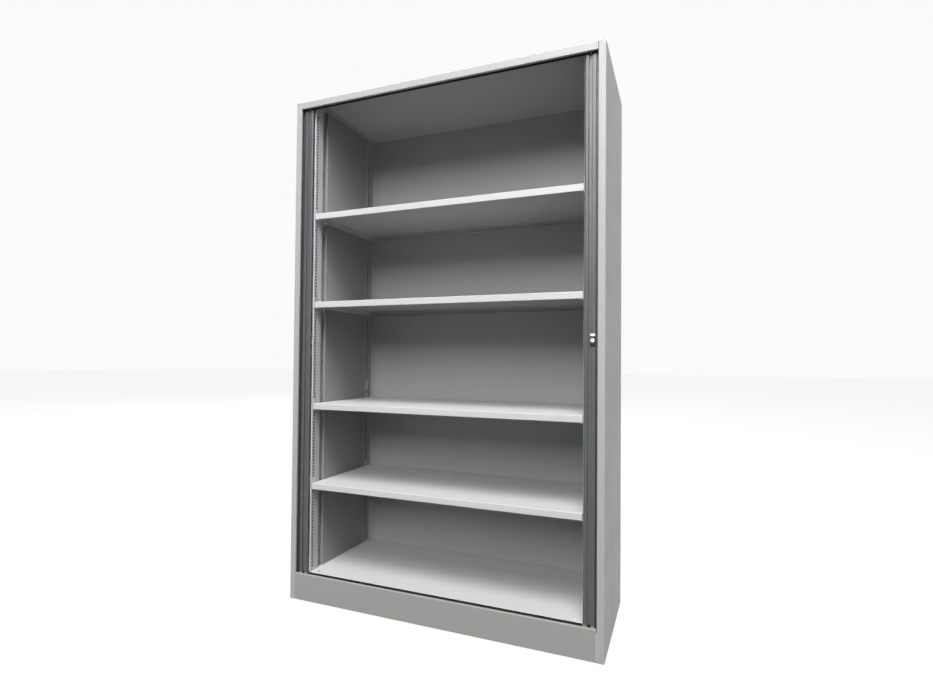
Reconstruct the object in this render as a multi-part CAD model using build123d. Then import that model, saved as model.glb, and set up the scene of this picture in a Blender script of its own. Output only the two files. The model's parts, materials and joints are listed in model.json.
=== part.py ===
from build123d import *
from math import cos, degrees, hypot, pi, sin, sqrt
import os

# A free-standing steel cupboard closed by two side-opening roller fronts.
#
# Pieces are drawn in a corner frame: x runs right from the outer face of the left side,
# y runs back from the front plane, z runs up from the floor. The export moves everything to
# the middle of the footprint, and the right-hand pieces are mirror images of the left ones.

# ---- Driving dimensions, in millimetres ----
WIDTH = 1200.0
HEIGHT = 1950.0
DEPTH = 470.0

SHEET = 1.0  # carcass and shelf sheet
BEND_RADIUS = 1.0  # inside radius of a fold
FIT = 0.2  # gap between panels that are fitted side by side
FRONT_SEAM = 0.8  # gap between a post and the rail or plinth beside it
FLOOR_GAP = 3.0  # the panels stand this far off the floor, on the feet

POST_WIDTH = 24.0  # front face of each side panel
POST_RETURN = 8.0
REAR_FLANGE = 18.0
RAIL_HEIGHT = 26.0
RAIL_LIP = 9.0
PLINTH_TOP = 104.0
PLINTH_LIP = 10.0
PLINTH_LIP_DROP = 12.0
PLINTH_HEM = 12.0

BACK_RECESS = 18.0  # rearmost plane to the inner face of the back
POCKET_WIDTH = 72.0  # outer face to the inner face of the liner
BOTTOM_FRONT = 28.0  # front plane to the front edge of the bottom panel
PAN_FLANGE = 25.0  # folded edges of the bottom panel
TRACK_STEP = 10.0  # the pocket floor lies this far below the bottom panel
REAR_RAIL_HEIGHT = 74.0

GROOVE_START = 76.0  # pressed vertical groove in the liner
GROOVE_END = 104.0
GROOVE_DEPTH = 10.0
UPRIGHT_FLANGE = 24.0
UPRIGHT_TAB = 14.0
REAR_UPRIGHT_WIDTH = 57.0
REAR_UPRIGHT_FLANGE = 12.0
REAR_UPRIGHT_TAB = 15.0
CEILING_FLANGE = 24.0
NOTCH_SIZE = (9.0, 9.0)
NOTCH_COUNT = 4
LID_LIP = 15.0  # inward edge of the lid, over the top tracks

SLOT_FIRST = 125.0  # height of the lowest shelf slot
SLOT_PITCH = 12.5
SLOT_END_MARGIN = 40.0  # plain stretch above the highest slots
SLOT_WIDTH = 10.0
SLOT_TALL = 6.0
SLOT_INSET = 13.0  # liner's front edge to the slot row
REAR_SLOT_INSET = 35.0  # back panel to the slot row
GROOVE_SLOT_WIDTH = 4.0
GROOVE_SLOT_TALL = 12.0
GROOVE_SLOT_GAP = 42.0
GROOVE_SLOT_PITCH = 380.0
GROOVE_SLOT_FIRST = 118.0

SHELF_SLOTS = (110, 82, 50, 25)  # slot that carries each shelf, from the top down
SPARE_CLIP_SLOT = 55
SHELF_THICKNESS = 24.0
SHELF_RETURN = 12.0
SHELF_FRONT = 30.0
SHELF_REAR_GAP = 2.0
SHELF_SIDE_GAP = 2.0

CLIP_SHEET = 1.2
CLIP_WIDTH = 12.0
CLIP_LEDGE = 14.0
CLIP_ABOVE_SHELF = 20.0
CLIP_HOOK_WIDTH = 8.0
CLIP_HOOK_TALL = 3.6
CLIP_HOOK_DROP = 4.0

SIDE_LANE = 12.0  # outer face to the middle of the side lane
RETURN_LANE = 54.0
CORNER_RADIUS = 19.0
REAR_TURN_GAP = 7.0  # back panel to the outer face of the curtain at the rear turn
TRACK_GROOVE = 8.0
TRACK_GROOVE_DEPTH = 7.0
TRACK_PLATE = 10.0
TOP_TRACK_RISE = 4.0  # lower edge of the top rail to the top tracks
CHANNEL_CLEARANCE = 0.2
TRACK_RUN_ON = 8.0  # groove past the last stored slat

SLAT_PITCH = 12.5
SLAT_FACE = 12.0
SLAT_BACK = 10.2
SLAT_THICKNESS = 5.0
SLAT_GAP = 0.3
SLAT_FLOOR_GAP = 0.3
SLAT_TOP_GAP = 3.0

PROFILE_EDGE = 32.0  # outer face of the cupboard to the outer edge of the parked profile
PROFILE_WIDTH = 37.0
PROFILE_THICKNESS = 12.0
PROFILE_WALL = 1.5
PROFILE_ROUND = 1.2
NOSE_RADIUS = 5.0  # front corner of the leading edge
OUTER_RIDGE = 12.5
LEADING_RIDGE = 13.0
GRIP_DEPTH = 5.0
PROFILE_LIFT = 3.0  # above the plinth
PROFILE_DROP = 5.0  # below the top rail
CLOSED_GAP = 1.0  # between the two closed profiles

GLIDE_PLUG = 15.0
GLIDE_FIT = 0.2
GLIDE_PIN_WIDTH = 6.0
GLIDE_SIDE_GAP = 1.8
GLIDE_FLOOR_GAP = 0.3
GLIDE_TOP_GAP = 3.0

LOCK_HEIGHT = 1003.0
LOCK_EDGE = 41.0  # outer face to the lock's axis, door open
ESCUTCHEON_SIZE = (17.0, 27.0)
ESCUTCHEON_THICKNESS = 2.0
ESCUTCHEON_ROUND = 3.0
LOCK_CUTOUT_WIDTH = 16.0
LOCK_CUTOUT_ABOVE = 21.0
LOCK_CUTOUT_BELOW = 22.0
LOCK_CASE_DEPTH = 6.4
LOCK_CASE_GAP = 0.3
CYLINDER_RADIUS = 6.2
CYLINDER_FLANGE_RADIUS = 6.9
CYLINDER_FLANGE = 1.2
PLUG_RADIUS = 4.8
PLUG_CLEARANCE = 0.05
PLUG_PROUD = 0.4  # in front of the cylinder's flange
KEYHOLE_SIZE = (1.8, 6.5)
KEYHOLE_DEPTH = 6.0
HOOK_GAP = 0.6  # lock case to the hook
HOOK_THICKNESS = 2.0
HOOK_HALF_WIDTH = 3.5
HOOK_BARB = 7.0
HOOK_BARB_LENGTH = 7.0
HOOK_BARB_GAP = 1.0  # strike screws to the barb, when locked
HOOK_TAIL_RADIUS = 3.0
BOLT_SLOT_BELOW = 4.3
BOLT_SLOT_GAP = 2.1  # swing of the hook to the slot's upper end
BOLT_SLOT_WIDTH = 4.0
STRIKE_THICKNESS = 0.8
STRIKE_WIDTH = 5.6
STRIKE_MARGIN = 5.0
STRIKE_SCREW_RADIUS = 1.5

FOOT_EDGE = 100.0
FOOT_FRONT = 48.0
FOOT_REAR_GAP = 28.0  # back panel to the rear feet
FOOT_PAD_RADIUS = 16.0
FOOT_PAD_HEIGHT = 8.0
FOOT_NUT_HEIGHT = 6.0
FOOT_NUT_RADIUS = 8.5
FOOT_STUD_RADIUS = 5.0
FOOT_STUD_TOP = 72.0
FOOT_STUD_CLEARANCE = 0.1
BRACKET_WEB = 38.0  # height of the web above the floor
BRACKET_SHEET = 2.5
BRACKET_HALF_WIDTH = 22.0
BRACKET_FLANGE = 14.0
BRACKET_HALF_LENGTH = 18.0
ACCESS_HOLE_RADIUS = 5.0

SCREW_HEAD_RADIUS = 4.0
SCREW_HEAD_HEIGHT = 2.0
SCREW_SHANK_RADIUS = 2.0
SCREW_CLEARANCE = 0.1
CEILING_SCREW_EDGE = 85.0
CEILING_SCREW_FRONT = 46.0
CEILING_SCREW_REAR_GAP = 30.0  # rear upright to the rear ceiling screws
BACK_SCREW_EDGE = 10.0
BACK_SCREW_FIRST = 200.0
BACK_SCREW_TOP_GAP = 150.0
BACK_SCREW_COUNT = 5

# ---- Planes and levels worked out from them ----
REAR = DEPTH - SCREW_HEAD_HEIGHT  # outer face of the rear flanges
INTERIOR_DEPTH = DEPTH - BACK_RECESS
CEILING = HEIGHT - SHEET
SHELF_TOPS = [SLOT_FIRST + SLOT_PITCH * slot + SHELF_THICKNESS / 2 for slot in SHELF_SLOTS]
FRONT_SLOT_ROW = BOTTOM_FRONT + SLOT_INSET
REAR_SLOT_ROW = INTERIOR_DEPTH - REAR_SLOT_INSET
POCKET_FLOOR = PLINTH_TOP - TRACK_STEP
RAIL_BOTTOM = HEIGHT - RAIL_HEIGHT
TOP_PLATE_BOTTOM = RAIL_BOTTOM + TOP_TRACK_RISE
TOP_PLATE_TOP = TOP_PLATE_BOTTOM + TRACK_PLATE
LINER_TOP = CEILING - SHEET - FIT
UPRIGHT_TOP = LINER_TOP - SHEET - FIT
SLOT_COUNT = int((UPRIGHT_TOP - SLOT_END_MARGIN - SLOT_FIRST) / SLOT_PITCH) + 1
GROOVE_SLOT_SPAN = LINER_TOP - SLOT_END_MARGIN - GROOVE_SLOT_FIRST - GROOVE_SLOT_GAP
GROOVE_SLOT_PAIRS = int(GROOVE_SLOT_SPAN / GROOVE_SLOT_PITCH) + 1
GROOVE_FACE = POCKET_WIDTH - GROOVE_DEPTH
REAR_UPRIGHT_START = INTERIOR_DEPTH - REAR_UPRIGHT_WIDTH
PAN_STEP = GROOVE_FACE - 2 * SHEET
TRACK_INNER_EDGE = PAN_STEP - BEND_RADIUS - FIT
TRACK_LANE = (PLINTH_LIP + BOTTOM_FRONT) / 2
CORNER_BLOCK_EDGE = PROFILE_EDGE - CHANNEL_CLEARANCE
CORNER_CENTRE = (SIDE_LANE + CORNER_RADIUS, TRACK_LANE + CORNER_RADIUS)
TURN_RADIUS = (RETURN_LANE - SIDE_LANE) / 2
TURN_CENTRE = (SIDE_LANE + TURN_RADIUS, INTERIOR_DEPTH - REAR_TURN_GAP - TURN_RADIUS)
CORNER_LENGTH = CORNER_RADIUS * pi / 2
SIDE_LENGTH = TURN_CENTRE[1] - CORNER_CENTRE[1]
TURN_LENGTH = TURN_RADIUS * pi
CHANNEL_FLOOR = PLINTH_TOP - PLINTH_LIP_DROP
PROFILE_BOTTOM = PLINTH_TOP + PROFILE_LIFT
PROFILE_TOP = RAIL_BOTTOM - PROFILE_DROP
PROFILE_FRONT = TRACK_LANE - PROFILE_THICKNESS / 2
PROFILE_BACK = TRACK_LANE + PROFILE_THICKNESS / 2
LEADING_EDGE = PROFILE_EDGE + PROFILE_WIDTH
LOCK_CASE_BACK = PROFILE_FRONT + LOCK_CASE_DEPTH
HOOK_FRONT = LOCK_CASE_BACK + HOOK_GAP
BOLT_PLANE = HOOK_FRONT + HOOK_THICKNESS / 2
STRIKE_SCREW_LENGTH = 2 * PROFILE_WALL
LOCK_BACKSET = LEADING_EDGE - LOCK_EDGE
HOOK_BARB_START = LOCK_BACKSET + CLOSED_GAP + STRIKE_SCREW_LENGTH + HOOK_BARB_GAP
HOOK_REACH = HOOK_BARB_START + HOOK_BARB_LENGTH
HOOK_SWING = hypot(HOOK_REACH, HOOK_BARB)
BOLT_SLOT_ABOVE = sqrt(HOOK_SWING**2 - (LOCK_BACKSET - PROFILE_WALL) ** 2) + BOLT_SLOT_GAP
CYLINDER_FRONT = PROFILE_FRONT - ESCUTCHEON_THICKNESS - CYLINDER_FLANGE
FOOT_REAR = INTERIOR_DEPTH - FOOT_REAR_GAP
CEILING_SCREW_PLACES = (CEILING_SCREW_FRONT, REAR_UPRIGHT_START - CEILING_SCREW_REAR_GAP)
BACK_SCREW_SPAN = HEIGHT - BACK_SCREW_TOP_GAP - BACK_SCREW_FIRST
BACK_SCREW_HEIGHTS = [
    BACK_SCREW_FIRST + BACK_SCREW_SPAN * index / (BACK_SCREW_COUNT - 1)
    for index in range(BACK_SCREW_COUNT)
]
DOOR_TRAVEL = WIDTH / 2 - LEADING_EDGE - CLOSED_GAP / 2
# The closed curtain still reaches behind the post, so that no gap opens there.
SLAT_COUNT = int((DOOR_TRAVEL + PROFILE_EDGE - SIDE_LANE) / SLAT_PITCH)
SLAT_BOTTOM = PLINTH_TOP - TRACK_GROOVE_DEPTH + SLAT_FLOOR_GAP
SLAT_TOP = TOP_PLATE_BOTTOM + TRACK_GROOVE_DEPTH - SLAT_TOP_GAP


# ---- Helpers ----
def block(x, y, z):
    """A box given by its (low, high) limits along each axis."""
    lows = [limits[0] for limits in (x, y, z)]
    sizes = [limits[1] - limits[0] for limits in (x, y, z)]
    return Pos(*lows) * Box(*sizes, align=(Align.MIN, Align.MIN, Align.MIN))


def rod(centre, radius, start, end, axis="Z", sides=None):
    """A rod along one axis, from start to end, round or with a number of flat sides."""
    outline = RegularPolygon(radius, sides) if sides else Circle(radius)
    plane = {"X": Plane.YZ, "Y": Plane.XZ, "Z": Plane.XY}[axis]
    solid = extrude(plane * outline, amount=end - start)
    if axis == "X":
        return Pos(start, centre[0], centre[1]) * solid
    if axis == "Y":
        # The XZ plane faces the front, so the rod is drawn towards the front from its far end.
        return Pos(centre[0], end, centre[1]) * solid
    return Pos(centre[0], centre[1], start) * solid


def folded(points, sheet=SHEET, radius=BEND_RADIUS):
    """Section of a folded sheet: the points lie on one face, the sheet to the left of them."""
    points = [Vector(*point) for point in points]
    steps = [(b - a).normalized() for a, b in zip(points, points[1:])]
    normals = [Vector(-step.Y, step.X) for step in steps]
    other = [points[0] + normals[0] * sheet]
    near_radii = [0.0]
    far_radii = [0.0]
    for index in range(1, len(points) - 1):
        before, after = normals[index - 1], normals[index]
        share = sheet / (1 + before.dot(after))
        other.append(points[index] + (before + after) * share)
        turns_left = steps[index - 1].cross(steps[index]).Z > 0
        near_radii.append(radius + sheet if turns_left else radius)
        far_radii.append(radius if turns_left else radius + sheet)
    other.append(points[-1] + normals[-1] * sheet)
    near_radii.append(0.0)
    far_radii.append(0.0)
    outline = FilletPolyline(
        *points, *reversed(other), radius=near_radii + far_radii[::-1], close=True
    )
    return make_face(outline)


def upward(section, start, end):
    """A section drawn in plan, extruded from one level to another."""
    return Pos(0, 0, start) * extrude(section, amount=end - start)


def across(section, start, end):
    """A section drawn as (y, z), extruded along x."""
    return Pos(start, 0, 0) * extrude(Plane.YZ * section, amount=end - start)


def backward(section, start, end):
    """A section drawn as (x, z), extruded along y."""
    return Pos(0, end, 0) * extrude(Plane.XZ * section, amount=end - start)


def mirrored(part):
    """The same piece on the other side of the cupboard."""
    return mirror(part, about=Plane.YZ.offset(WIDTH / 2))


def both_sides(parts):
    """The pieces of the left side and their mirror images."""
    return list(parts) + [mirrored(part) for part in parts]


# ---- Carcass ----
def side_panel():
    section = folded(
        [
            (REAR_FLANGE, REAR),
            (0, REAR),
            (0, 0),
            (POST_WIDTH, 0),
            (POST_WIDTH, POST_RETURN),
        ]
    )
    panel = upward(section, FLOOR_GAP, HEIGHT)
    # The lid's front corner lies over the return, behind the front flange.
    panel -= block(
        (SHEET + BEND_RADIUS, POST_WIDTH + SHEET),
        (SHEET, POST_RETURN + SHEET),
        (CEILING - FIT, HEIGHT),
    )
    for height in BACK_SCREW_HEIGHTS:
        panel -= back_screw_hole(height)
    return panel


def back_screw_hole(height):
    radius = SCREW_SHANK_RADIUS + SCREW_CLEARANCE
    start = REAR - 3 * SHEET
    return rod((BACK_SCREW_EDGE, height), radius, start, REAR + SHEET, axis="Y")


def back_panel():
    """Pan-shaped back: a deep flat sheet with stepped edges that lie on the rear flanges."""
    flange = REAR - 2 * SHEET - FIT
    edge = SHEET + BEND_RADIUS + FIT
    step = REAR_FLANGE + 2 * SHEET
    section = folded(
        [
            (edge, flange),
            (step, flange),
            (step, INTERIOR_DEPTH),
            (WIDTH - step, INTERIOR_DEPTH),
            (WIDTH - step, flange),
            (WIDTH - edge, flange),
        ]
    )
    top = CEILING - BEND_RADIUS - FIT
    panel = upward(section, FLOOR_GAP + REAR_RAIL_HEIGHT + FIT, top)
    for height in BACK_SCREW_HEIGHTS:
        hole = back_screw_hole(height)
        panel -= hole
        panel -= mirrored(hole)
    return panel


def top_panel():
    """Lid with a front rail, a rear edge, and folded side edges that carry the tracks."""
    edge = SHEET + FIT
    section = folded(
        [
            (WIDTH - edge - LID_LIP, TOP_PLATE_TOP),
            (WIDTH - edge, TOP_PLATE_TOP),
            (WIDTH - edge, HEIGHT),
            (edge, HEIGHT),
            (edge, TOP_PLATE_TOP),
            (edge + LID_LIP, TOP_PLATE_TOP),
        ]
    )
    corner = SHEET + BEND_RADIUS + FIT
    panel = backward(section, corner, REAR - 2 * SHEET - 2 * FIT)
    panel += block((corner, WIDTH - corner), (edge, corner + SHEET), (CEILING, HEIGHT))
    rail = folded(
        [
            (2 * RAIL_LIP, HEIGHT),
            (0, HEIGHT),
            (0, RAIL_BOTTOM),
            (RAIL_LIP, RAIL_BOTTOM),
        ]
    )
    panel += across(rail, POST_WIDTH + FRONT_SEAM, WIDTH - POST_WIDTH - FRONT_SEAM)
    rear_edge = folded(
        [
            (REAR, RAIL_BOTTOM),
            (REAR, HEIGHT),
            (REAR - 2 * RAIL_LIP, HEIGHT),
        ]
    )
    panel += across(rear_edge, REAR_FLANGE + FIT, WIDTH - REAR_FLANGE - FIT)
    for place in CEILING_SCREW_PLACES:
        hole = ceiling_screw_hole(place)
        panel -= hole
        panel -= mirrored(hole)
    return panel


def ceiling_screw_hole(place):
    radius = SCREW_SHANK_RADIUS + SCREW_CLEARANCE
    return rod((CEILING_SCREW_EDGE, place), radius, LINER_TOP - 2 * SHEET, CEILING + SHEET / 2)


def bottom_panel():
    """Pan with stepped sides, which hold the tracks level with its top."""
    edge = SHEET + FIT
    step = PAN_STEP
    low = PLINTH_TOP - PAN_FLANGE
    rear = INTERIOR_DEPTH - FIT
    across_section = folded(
        [
            (WIDTH - edge, low),
            (WIDTH - edge, POCKET_FLOOR),
            (WIDTH - step, POCKET_FLOOR),
            (WIDTH - step, PLINTH_TOP),
            (step, PLINTH_TOP),
            (step, POCKET_FLOOR),
            (edge, POCKET_FLOOR),
            (edge, low),
        ]
    )
    bend = BEND_RADIUS + SHEET
    panel = backward(across_section, BOTTOM_FRONT + bend, rear - bend)
    along_section = folded(
        [
            (rear, low),
            (rear, PLINTH_TOP),
            (BOTTOM_FRONT, PLINTH_TOP),
            (BOTTOM_FRONT, low),
        ]
    )
    panel += across(along_section, step, WIDTH - step)
    pocket_section = folded(
        [
            (rear, low),
            (rear, POCKET_FLOOR),
            (BOTTOM_FRONT, POCKET_FLOOR),
            (BOTTOM_FRONT, low),
        ]
    )
    pocket_floor = across(pocket_section, edge, step + SHEET)
    panel += pocket_floor
    panel += mirrored(pocket_floor)
    for place in (FOOT_FRONT, FOOT_REAR):
        hole = rod((FOOT_EDGE, place), ACCESS_HOLE_RADIUS, low, PLINTH_TOP + SHEET)
        panel -= hole
        panel -= mirrored(hole)
    return panel


def plinth_front():
    section = folded(
        [
            (PLINTH_LIP, CHANNEL_FLOOR),
            (PLINTH_LIP, PLINTH_TOP),
            (0, PLINTH_TOP),
            (0, FLOOR_GAP),
            (PLINTH_HEM, FLOOR_GAP),
        ]
    )
    return across(section, POST_WIDTH + FRONT_SEAM, WIDTH - POST_WIDTH - FRONT_SEAM)


def plinth_back():
    rear = REAR - SHEET - FIT
    top = FLOOR_GAP + REAR_RAIL_HEIGHT
    section = folded(
        [
            (rear, FLOOR_GAP),
            (rear, top),
            (INTERIOR_DEPTH + SHEET, top),
        ]
    )
    edge = SHEET + BEND_RADIUS + FIT
    return across(section, edge, WIDTH - edge)


# ---- Liners and perforated uprights ----
def slot_row(row, slab):
    """One block for each shelf slot in a row, all through the given band of x."""
    for index in range(SLOT_COUNT):
        height = SLOT_FIRST + SLOT_PITCH * index
        yield block(
            slab,
            (row - SLOT_WIDTH / 2, row + SLOT_WIDTH / 2),
            (height - SLOT_TALL / 2, height + SLOT_TALL / 2),
        )


def front_upright():
    """Perforated channel beside the opening; its rear leg lies behind the liner."""
    section = folded(
        [
            (POCKET_WIDTH - UPRIGHT_FLANGE, BOTTOM_FRONT),
            (POCKET_WIDTH, BOTTOM_FRONT),
            (POCKET_WIDTH, GROOVE_START),
            (GROOVE_FACE - SHEET, GROOVE_START),
            (GROOVE_FACE - SHEET, GROOVE_START + UPRIGHT_TAB),
        ]
    )
    upright = upward(section, PLINTH_TOP, UPRIGHT_TOP)
    wall = (POCKET_WIDTH - 2 * SHEET, POCKET_WIDTH + SHEET)
    return upright - list(slot_row(FRONT_SLOT_ROW, wall))


def rear_upright():
    """Perforated angle in the rear corner; a tab along it lies behind the liner."""
    wall = (POCKET_WIDTH - SHEET, POCKET_WIDTH)
    levels = (PLINTH_TOP, UPRIGHT_TOP)
    section = folded(
        [
            (POCKET_WIDTH, REAR_UPRIGHT_START),
            (POCKET_WIDTH, INTERIOR_DEPTH - SHEET),
            (POCKET_WIDTH + REAR_UPRIGHT_FLANGE, INTERIOR_DEPTH - SHEET),
        ]
    )
    upright = upward(section, *levels)
    upright += block(
        (wall[0] - SHEET, wall[0]),
        (REAR_UPRIGHT_START - REAR_UPRIGHT_TAB, REAR_UPRIGHT_START + 2 * SHEET),
        levels,
    )
    slots = slot_row(REAR_SLOT_ROW, (wall[0] - 2 * SHEET, wall[1] + SHEET))
    return upright - list(slots)


def liner():
    """Inner wall of the pocket, with a pressed groove and a flange under the ceiling."""
    wall = (POCKET_WIDTH - SHEET, POCKET_WIDTH)
    section = folded(
        [
            (GROOVE_FACE, GROOVE_START + BEND_RADIUS + FIT),
            (GROOVE_FACE, GROOVE_END),
            (POCKET_WIDTH, GROOVE_END),
            (POCKET_WIDTH, REAR_UPRIGHT_START - FIT),
        ]
    )
    wall_panel = upward(section, PLINTH_TOP, LINER_TOP)
    wall_panel += block(
        (wall[0], wall[1] + CEILING_FLANGE),
        (GROOVE_END + SHEET, REAR_UPRIGHT_START - FIT),
        (LINER_TOP - SHEET, LINER_TOP),
    )
    front_tab = CEILING_SCREW_PLACES[0] - CEILING_FLANGE / 2
    wall_panel += block(
        (wall[1] + SHEET, wall[1] + CEILING_FLANGE),
        (front_tab, GROOVE_END + 2 * SHEET),
        (LINER_TOP - SHEET, LINER_TOP),
    )
    width, tall = NOTCH_SIZE
    spacing = (REAR_UPRIGHT_START - GROOVE_END) / NOTCH_COUNT
    for index in range(NOTCH_COUNT):
        place = GROOVE_END + spacing * (index + 0.5)
        wall_panel -= block(
            (wall[0] - SHEET, wall[1] + BEND_RADIUS / 2),
            (place - width / 2, place + width / 2),
            (LINER_TOP - 2 * SHEET - tall, LINER_TOP - 2 * SHEET),
        )
    middle = (GROOVE_START + UPRIGHT_TAB + GROOVE_END) / 2
    for pair in range(GROOVE_SLOT_PAIRS):
        for height in (0.0, GROOVE_SLOT_GAP):
            low = GROOVE_SLOT_FIRST + GROOVE_SLOT_PITCH * pair + height
            wall_panel -= block(
                (GROOVE_FACE - 2 * SHEET, GROOVE_FACE + SHEET),
                (middle - GROOVE_SLOT_WIDTH / 2, middle + GROOVE_SLOT_WIDTH / 2),
                (low, low + GROOVE_SLOT_TALL),
            )
    for place in CEILING_SCREW_PLACES:
        wall_panel -= ceiling_screw_hole(place)
    return wall_panel


# ---- Tracks ----
def curtain_point(distance):
    """Point on the curtain's path, and the angle of its travel, from the parked profile."""
    start = (PROFILE_EDGE - CORNER_CENTRE[0]) - SLAT_GAP
    if distance < start:
        return (PROFILE_EDGE - SLAT_GAP - distance, TRACK_LANE), pi
    distance -= start
    if distance < CORNER_LENGTH:
        angle = distance / CORNER_RADIUS
        x = CORNER_CENTRE[0] - CORNER_RADIUS * sin(angle)
        y = CORNER_CENTRE[1] - CORNER_RADIUS * cos(angle)
        return (x, y), pi - angle
    distance -= CORNER_LENGTH
    if distance < SIDE_LENGTH:
        return (SIDE_LANE, CORNER_CENTRE[1] + distance), pi / 2
    distance -= SIDE_LENGTH
    if distance < TURN_LENGTH:
        angle = distance / TURN_RADIUS
        x = TURN_CENTRE[0] - TURN_RADIUS * cos(angle)
        y = TURN_CENTRE[1] + TURN_RADIUS * sin(angle)
        return (x, y), pi / 2 - angle
    distance -= TURN_LENGTH
    return (RETURN_LANE, TURN_CENTRE[1] - distance), -pi / 2


def ring(centre, radius, width):
    return Pos(*centre) * (Circle(radius + width / 2) - Circle(radius - width / 2))


def strip(x, y):
    """A rectangle given by its (low, high) limits."""
    width, tall = x[1] - x[0], y[1] - y[0]
    return Pos(x[0] + width / 2, y[0] + tall / 2) * Rectangle(width, tall)


def track_groove():
    """Plan of the groove: front corner, side lane, rear turn and return lane."""
    half = TRACK_GROOVE / 2
    reach = CORNER_RADIUS + TRACK_GROOVE
    corner_x, corner_y = CORNER_CENTRE
    corner = ring(CORNER_CENTRE, CORNER_RADIUS, TRACK_GROOVE)
    corner &= strip((corner_x - reach, corner_x), (corner_y - reach, corner_y))
    mouth = strip((corner_x, PROFILE_EDGE), (TRACK_LANE - half, TRACK_LANE + half))
    side = strip((SIDE_LANE - half, SIDE_LANE + half), (corner_y, TURN_CENTRE[1]))
    turn = ring(TURN_CENTRE, TURN_RADIUS, TRACK_GROOVE)
    turn &= strip((0, POCKET_WIDTH), (TURN_CENTRE[1], DEPTH))
    straight = CORNER_LENGTH + SIDE_LENGTH + TURN_LENGTH
    stored = SLAT_COUNT * SLAT_PITCH - straight + TRACK_RUN_ON
    back = strip(
        (RETURN_LANE - half, RETURN_LANE + half),
        (TURN_CENTRE[1] - stored, TURN_CENTRE[1]),
    )
    return corner + mouth + side + turn + back


def track_plate(low, groove_low):
    """Plastic plate of the pocket, with the groove in its lower or upper face."""
    inner = SHEET + BEND_RADIUS + FIT
    front = PLINTH_LIP + FIT
    side_front = BOTTOM_FRONT + SHEET + FIT
    rear = INTERIOR_DEPTH - FIT
    outline = strip((inner, TRACK_INNER_EDGE), (side_front, rear))
    outline += strip((inner, CORNER_BLOCK_EDGE), (front, side_front))
    plate = upward(outline, low, low + TRACK_PLATE)
    return plate - upward(track_groove(), groove_low, groove_low + TRACK_GROOVE_DEPTH)


def front_bottom_track():
    front = PLINTH_LIP + CHANNEL_CLEARANCE
    rear = BOTTOM_FRONT - CHANNEL_CLEARANCE
    top = PLINTH_TOP - SHEET / 2
    section = folded(
        [
            (front, top),
            (front, CHANNEL_FLOOR),
            (rear, CHANNEL_FLOOR),
            (rear, top),
        ]
    )
    return across(section, PROFILE_EDGE, WIDTH - PROFILE_EDGE)


def front_top_track():
    """Channel over the opening, hung from the lid by its rear wall."""
    front = PLINTH_LIP + CHANNEL_CLEARANCE
    rear = BOTTOM_FRONT - CHANNEL_CLEARANCE
    low = TOP_PLATE_BOTTOM - SHEET
    section = folded(
        [
            (rear, low),
            (rear, TOP_PLATE_TOP),
            (front, TOP_PLATE_TOP),
            (front, low),
        ]
    )
    hanger = folded(
        [
            (rear, TOP_PLATE_TOP - 2 * SHEET),
            (rear, CEILING - SHEET),
            (rear + UPRIGHT_TAB, CEILING - SHEET),
        ]
    )
    ends = (PROFILE_EDGE, WIDTH - PROFILE_EDGE)
    return across(section, *ends) + across(hanger, *ends)


# ---- Shelves ----
def shelf(top):
    left = POCKET_WIDTH + SHELF_SIDE_GAP
    right = WIDTH - left
    rear = INTERIOR_DEPTH - SHELF_REAR_GAP
    low = top - SHELF_THICKNESS
    section = folded(
        [
            (rear - SHELF_RETURN, low),
            (rear, low),
            (rear, top),
            (SHELF_FRONT, top),
            (SHELF_FRONT, low),
            (SHELF_FRONT + SHELF_RETURN, low),
        ]
    )
    tray = across(section, left, right)
    corner = SHEET + BEND_RADIUS
    side = block(
        (left, left + SHEET),
        (SHELF_FRONT + corner, rear - corner),
        (low, top - SHEET / 2),
    )
    return tray + side + mirrored(side)


def shelf_clip(row, slot):
    """Clip hooked into two slots, with a ledge under the shelf and a stop above it."""
    first = SLOT_FIRST + SLOT_PITCH * slot
    low = first - SHELF_THICKNESS / 2
    high = low + SHELF_THICKNESS + CLIP_ABOVE_SHELF
    wide = (row - CLIP_WIDTH / 2, row + CLIP_WIDTH / 2)
    clip = block((POCKET_WIDTH, POCKET_WIDTH + CLIP_SHEET), wide, (low - CLIP_SHEET, high))
    ledge = (POCKET_WIDTH, POCKET_WIDTH + CLIP_LEDGE)
    clip += block(ledge, wide, (low - CLIP_SHEET, low))
    hook_wide = (row - CLIP_HOOK_WIDTH / 2, row + CLIP_HOOK_WIDTH / 2)
    behind = POCKET_WIDTH - SHEET - FIT
    half = CLIP_HOOK_TALL / 2
    for height in (first, first + 2 * SLOT_PITCH):
        stub = (behind - CLIP_SHEET, POCKET_WIDTH)
        clip += block(stub, hook_wide, (height - half, height + half))
        tongue = (behind - CLIP_SHEET, behind)
        clip += block(tongue, hook_wide, (height - half - CLIP_HOOK_DROP, height))
    return clip


def shelf_clips(slot):
    return both_sides([shelf_clip(row, slot) for row in (FRONT_SLOT_ROW, REAR_SLOT_ROW)])


# ---- Roller fronts ----
def curtain_slats():
    """The slats as they lie in the pocket when the front is open."""
    section = Polygon(
        (-SLAT_BACK / 2, -SLAT_THICKNESS / 2),
        (SLAT_BACK / 2, -SLAT_THICKNESS / 2),
        (SLAT_FACE / 2, SLAT_THICKNESS / 2),
        (-SLAT_FACE / 2, SLAT_THICKNESS / 2),
        align=None,
    )
    slats = []
    for index in range(SLAT_COUNT):
        (x, y), angle = curtain_point(SLAT_PITCH * (index + 0.5))
        placed = Pos(x, y) * Rot(0, 0, degrees(angle)) * section
        slats.append(upward(placed, SLAT_BOTTOM, SLAT_TOP))
    return slats


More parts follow.
